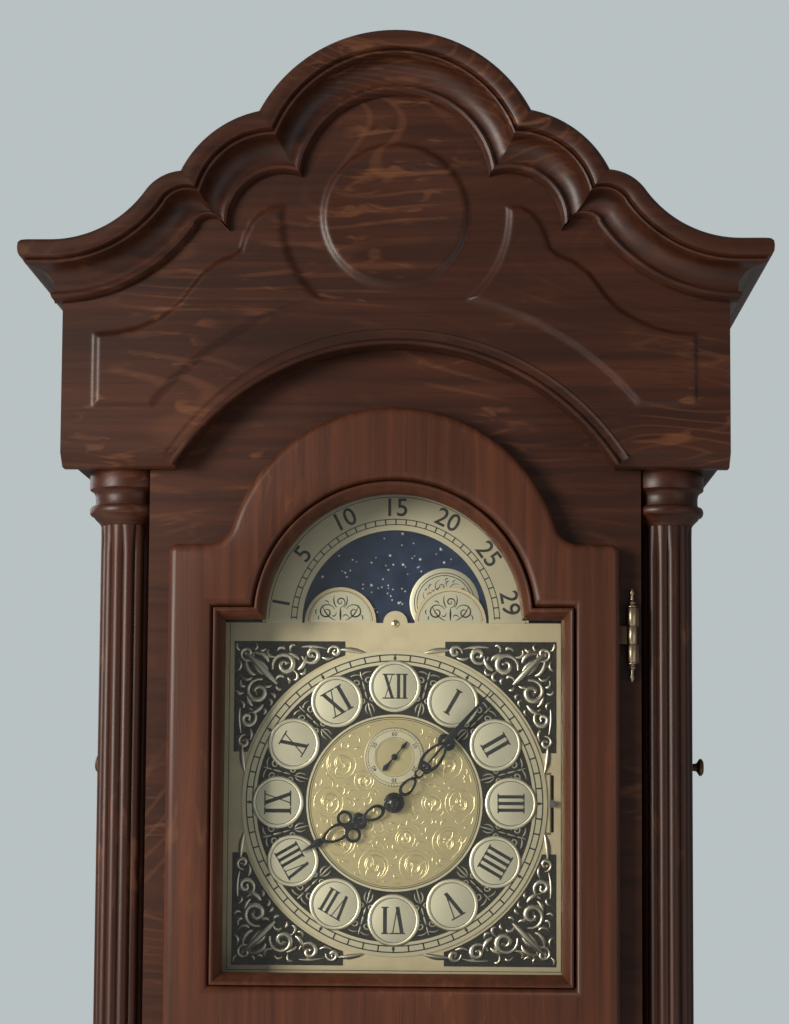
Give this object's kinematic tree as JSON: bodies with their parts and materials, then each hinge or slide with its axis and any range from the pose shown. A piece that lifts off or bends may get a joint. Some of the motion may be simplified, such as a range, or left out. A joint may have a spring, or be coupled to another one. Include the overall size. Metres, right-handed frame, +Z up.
{
  "type": "grandfather clock",
  "caption": "Floor-standing longcase clock: arched glazed hood door over a moon-phase dial, waterfall pediment, glazed trunk door, pendulum and chain-hung weights.",
  "frame": {"origin": "on the floor, under the middle of the clock's overall box", "axes": "+Z up, +X to the viewer's right, -Y towards the viewer who faces the dial"},
  "size_m": [0.569, 0.34, 2.127],
  "materials": {
    "oak": "satin red-brown stained quarter-sawn oak",
    "oak_dark": "matt dark oak",
    "brass": "brushed and lacquered",
    "dial_brass": "matted champagne brass",
    "silver": "silvered",
    "steel": "polished",
    "black": "satin black",
    "navy": "satin enamel",
    "glass": "clear polished",
    "bronze": "dark bronze"
  },
  "bodies": {
    "case": {"leveling_feet": "steel", "base_boards": "oak", "plinth_moulding": "oak", "base_front_frame": "oak", "base_front_panel": "oak", "waist_mouldings": "oak", "trunk_sides": "oak", "back_board": "oak_dark", "trunk_front_frame": "oak", "hinge_leaves": "brass", "hood_base_moulding": "oak", "hood_sides": "oak", "hood_front_board": "oak", "column_shafts": "oak", "column_turnings": "oak", "frieze_board": "oak", "hood_upper_boards": "oak", "crown_front": "oak", "crown_returns": "oak", "dial_mask": "oak_dark", "dial_plate": "dial_brass", "dial_trim": "dial_brass", "chapter_ring": "dial_brass", "hour_cartouches": "dial_brass", "movement_plates": "brass", "seat_board": "oak_dark", "chime_rods": "steel", "chains": "brass"},
    "hood_door": {"hood_door_frame": "oak", "hood_door_glass": "glass", "hood_door_hinges": "brass"},
    "side_panel_left": {"side_panel_left": "oak", "side_knob_left": "bronze"},
    "side_panel_right": {"side_panel_right": "oak", "side_knob_right": "bronze"},
    "trunk_door": {"trunk_door_frame": "oak", "trunk_door_glass": "glass", "trunk_door_fittings": "brass"},
    "trunk_key": {"trunk_door_key": "brass"},
    "minute_hand": {"minute_hand": "black"},
    "hour_hand": {"hour_hand": "black"},
    "minute_wheel": {"minute_wheel": "brass"},
    "moon_disc": {"moon_disc": "navy"},
    "chime_lever": {"chime_lever": "steel"},
    "centre_wheel": {"centre_wheel": "brass"},
    "going_great_wheel": {"going_great_wheel": "brass"},
    "third_wheel": {"third_wheel": "brass"},
    "escape_wheel": {"escape_wheel": "brass", "seconds_hand": "black"},
    "pendulum": {"pendulum_rod": "oak", "pendulum_bob": "brass", "rating_nut": "brass"},
    "anchor": {"anchor": "steel"},
    "strike_great_wheel": {"strike_great_wheel": "brass"},
    "chime_great_wheel": {"chime_great_wheel": "brass"},
    "chime_drum": {"chime_drum": "brass"},
    "chime_hammers": {"chime_hammers": "brass"},
    "weight_left": {"weight_left": "brass"},
    "weight_centre": {"weight_centre": "brass"},
    "weight_right": {"weight_right": "brass"}
  },
  "joints": [
    {"name": "hood_door_hinge", "type": "hinge", "parent": "case", "child": "hood_door", "pos_m": [0.181, -0.1225, 1.542], "axis": [0, 0, 1], "range_deg": [0, 105]},
    {"name": "trunk_door_hinge", "type": "hinge", "parent": "case", "child": "trunk_door", "pos_m": [0.148, -0.1025, 0.857], "axis": [0, 0, 1], "range_deg": [0, 110]},
    {"name": "trunk_key_turn", "type": "hinge", "parent": "trunk_door", "child": "trunk_key", "pos_m": [-0.128, -0.098, 0.8835], "axis": [0, 1, 0], "range_deg": [0, 90]},
    {"name": "side_panel_left_pull", "type": "slide", "parent": "case", "child": "side_panel_left", "axis": [-1, 0, 0], "range_m": [0, 0.03]},
    {"name": "side_panel_right_pull", "type": "slide", "parent": "case", "child": "side_panel_right", "axis": [1, 0, 0], "range_m": [0, 0.03]},
    {"name": "minute_hand_turn", "type": "hinge", "parent": "case", "child": "minute_hand", "pos_m": [0, -0.08, 1.542], "axis": [0, 1, 0], "continuous": true},
    {"name": "hour_hand_turn", "type": "hinge", "parent": "case", "child": "hour_hand", "pos_m": [0, -0.08, 1.542], "axis": [0, 1, 0], "continuous": true},
    {"name": "minute_wheel_turn", "type": "hinge", "parent": "case", "child": "minute_wheel", "pos_m": [0.02621, -0.058, 1.52365], "axis": [0, 1, 0], "continuous": true},
    {"name": "moon_disc_turn", "type": "hinge", "parent": "case", "child": "moon_disc", "pos_m": [0, -0.08, 1.682], "axis": [0, 1, 0], "continuous": true},
    {"name": "chime_lever_slide", "type": "slide", "parent": "case", "child": "chime_lever", "axis": [0, 0, 1], "range_m": [-0.018, 0.018]},
    {"name": "centre_wheel_turn", "type": "hinge", "parent": "case", "child": "centre_wheel", "pos_m": [0, -0.025, 1.542], "axis": [0, 1, 0], "continuous": true},
    {"name": "going_great_wheel_turn", "type": "hinge", "parent": "case", "child": "going_great_wheel", "pos_m": [0, -0.025, 1.5084], "axis": [0, 1, 0], "continuous": true},
    {"name": "third_wheel_turn", "type": "hinge", "parent": "case", "child": "third_wheel", "pos_m": [0.01926, -0.025, 1.56341], "axis": [0, 1, 0], "continuous": true},
    {"name": "escape_wheel_turn", "type": "hinge", "parent": "case", "child": "escape_wheel", "pos_m": [0, -0.025, 1.5774], "axis": [0, 1, 0], "continuous": true},
    {"name": "pendulum_swing", "type": "hinge", "parent": "case", "child": "pendulum", "pos_m": [0, 0.036, 1.6024], "axis": [0, 1, 0], "range_deg": [-3, 3]},
    {"name": "anchor_rock", "type": "hinge", "parent": "case", "child": "anchor", "pos_m": [0, 0.014, 1.6024], "axis": [0, 1, 0], "range_deg": [-3, 3]},
    {"name": "strike_great_wheel_turn", "type": "hinge", "parent": "case", "child": "strike_great_wheel", "pos_m": [-0.062, -0.025, 1.5084], "axis": [0, 1, 0], "continuous": true},
    {"name": "chime_great_wheel_turn", "type": "hinge", "parent": "case", "child": "chime_great_wheel", "pos_m": [0.062, -0.025, 1.5084], "axis": [0, 1, 0], "continuous": true},
    {"name": "chime_drum_turn", "type": "hinge", "parent": "case", "child": "chime_drum", "pos_m": [0.062, -0.025, 1.554], "axis": [0, 1, 0], "continuous": true},
    {"name": "chime_hammers_lift", "type": "hinge", "parent": "case", "child": "chime_hammers", "pos_m": [0.06, 0.014, 1.592], "axis": [0, 1, 0], "range_deg": [0, 18], "stiffness_Nm_per_rad": 0.15, "springref_deg": -17.19},
    {"name": "weight_left_drop", "type": "slide", "parent": "case", "child": "weight_left", "axis": [0, 0, -1], "range_m": [-0.35, 0.22]},
    {"name": "weight_centre_drop", "type": "slide", "parent": "case", "child": "weight_centre", "axis": [0, 0, -1], "range_m": [-0.35, 0.22]},
    {"name": "weight_right_drop", "type": "slide", "parent": "case", "child": "weight_right", "axis": [0, 0, -1], "range_m": [-0.35, 0.22]}
  ],
  "couplings": [
    {"joint": "hour_hand_turn", "follows": "minute_hand_turn", "ratio": 0.083333},
    {"joint": "minute_wheel_turn", "follows": "minute_hand_turn", "ratio": -0.33333},
    {"joint": "moon_disc_turn", "follows": "minute_hand_turn", "ratio": 0.00070547},
    {"joint": "centre_wheel_turn", "follows": "escape_wheel_turn", "ratio": 0.016667},
    {"joint": "going_great_wheel_turn", "follows": "escape_wheel_turn", "ratio": -0.0027778},
    {"joint": "third_wheel_turn", "follows": "escape_wheel_turn", "ratio": -0.13333},
    {"joint": "anchor_rock", "follows": "pendulum_swing", "ratio": 1},
    {"joint": "chime_drum_turn", "follows": "chime_great_wheel_turn", "ratio": -1.7143}
  ]
}
